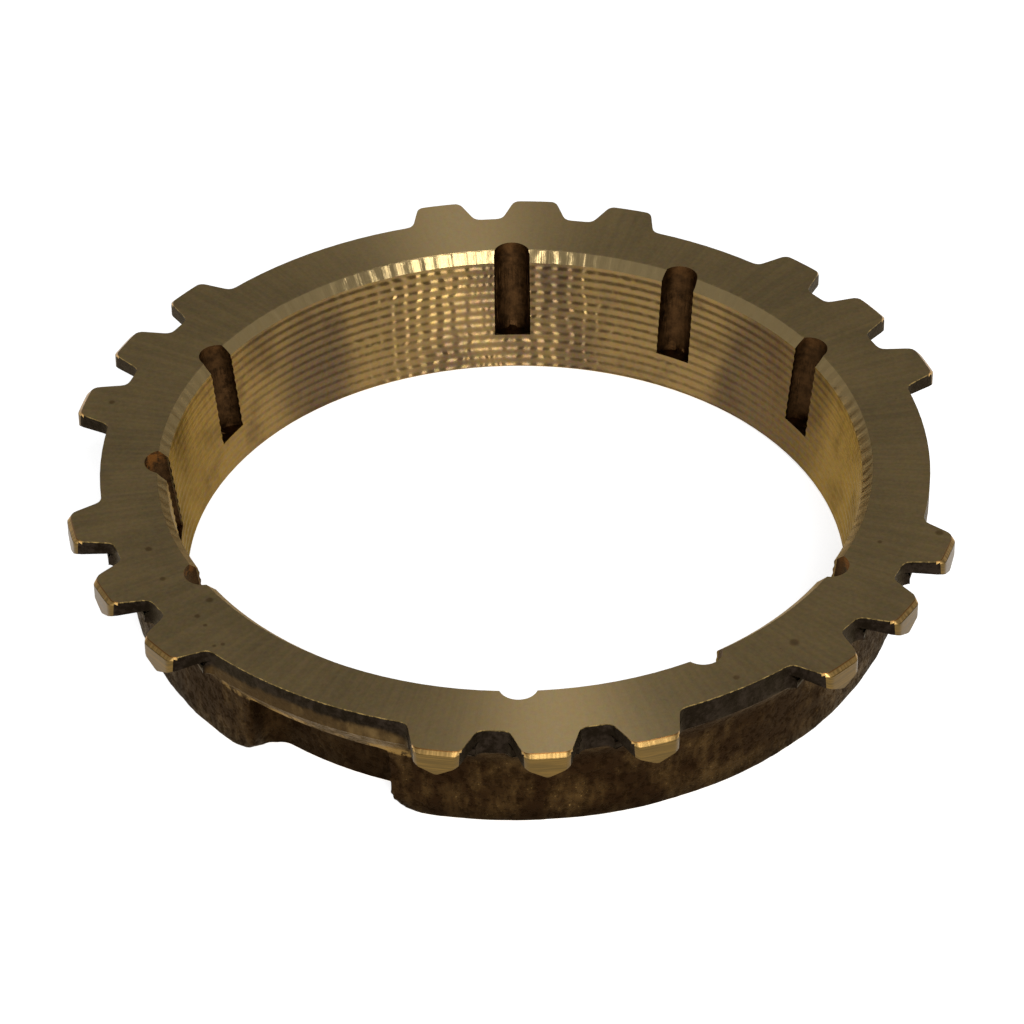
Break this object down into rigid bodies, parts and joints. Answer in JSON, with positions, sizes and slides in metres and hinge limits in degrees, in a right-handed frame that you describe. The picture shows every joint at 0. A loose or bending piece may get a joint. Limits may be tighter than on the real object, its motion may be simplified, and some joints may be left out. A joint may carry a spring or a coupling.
{
  "type": "synchronizer ring",
  "caption": "Brass synchronizer ring for a manual gearbox, with a threaded cone bore, oil slots, grouped blocker teeth with roof-shaped undersides and a skirt with key slots.",
  "frame": {"origin": "on the ring's axis, in the plane of the feet of the three skirt pads", "axes": "+Z along the axis, out of the flat gear-side face; +X through the middle of one key slot"},
  "size_m": [0.0712, 0.0736, 0.0113],
  "materials": {
    "brass": "dull aged brass, turned on the gear-side face and bore, as forged and brown on the skirt"
  },
  "bodies": {
    "root": {"synchronizer_ring": "brass"}
  },
  "joints": []
}
